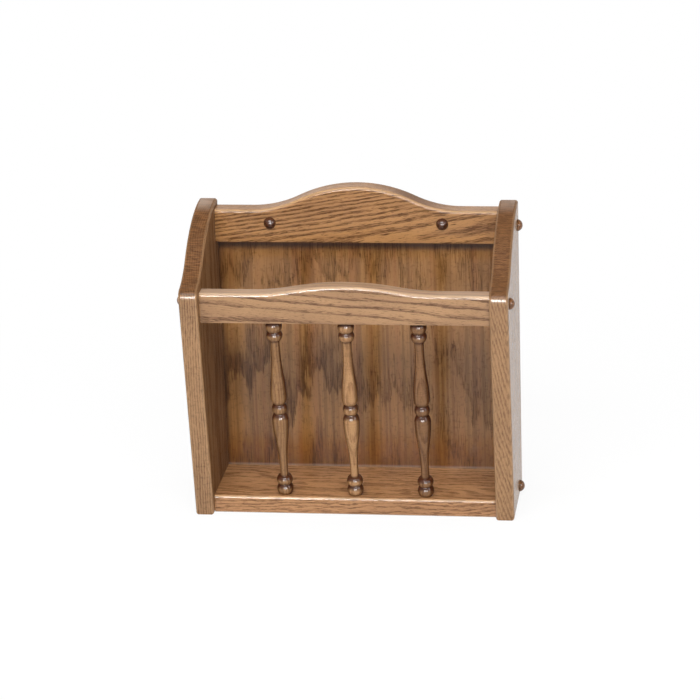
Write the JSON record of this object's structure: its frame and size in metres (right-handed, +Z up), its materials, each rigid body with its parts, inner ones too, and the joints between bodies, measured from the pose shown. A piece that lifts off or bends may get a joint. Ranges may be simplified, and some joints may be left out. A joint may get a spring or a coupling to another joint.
{
  "type": "wall magazine rack",
  "caption": "Oak wall magazine rack: shaped sides, arched crest and front rails, turned spindles, a shelf and a thin back panel around an open pocket, with buttons over its screws.",
  "frame": {"origin": "midway between the two wall screw holes, in the plane of the wall", "axes": "+X along the rack to the right as seen from the front, +Y into the wall, +Z up"},
  "size_m": [0.3406, 0.1385, 0.329],
  "materials": {
    "oak_side": "stained oak, satin lacquer",
    "oak_rail": "stained oak, satin lacquer",
    "oak_panel": "stained oak veneer, satin lacquer",
    "oak_turned": "stained oak, satin lacquer",
    "button": "dark stained, gloss lacquer",
    "steel": "zinc plated"
  },
  "bodies": {
    "rack": {"left_side": "oak_side", "right_side": "oak_side", "crest_rail": "oak_rail", "front_rail": "oak_rail", "bottom_shelf": "oak_rail", "back_panel": "oak_panel", "spindle_left": "oak_turned", "spindle_centre": "oak_turned", "spindle_right": "oak_turned", "crest_button_left": "button", "crest_button_right": "button", "rail_button_left": "button", "rail_button_right": "button", "shelf_button_left": "button", "shelf_button_right": "button", "crest_screw_left": "steel", "crest_screw_right": "steel", "rail_screw_left": "steel", "rail_screw_right": "steel", "shelf_screw_left": "steel", "shelf_screw_right": "steel", "panel_brads": "steel"},
    "left_wall_button": {"wall_button_left": "button"},
    "right_wall_button": {"wall_button_right": "button"}
  },
  "joints": [
    {"name": "left_button_pull", "type": "slide", "parent": "rack", "child": "left_wall_button", "axis": [0, -1, 0], "range_m": [0, 0.01]},
    {"name": "right_button_pull", "type": "slide", "parent": "rack", "child": "right_wall_button", "axis": [0, -1, 0], "range_m": [0, 0.01]}
  ]
}
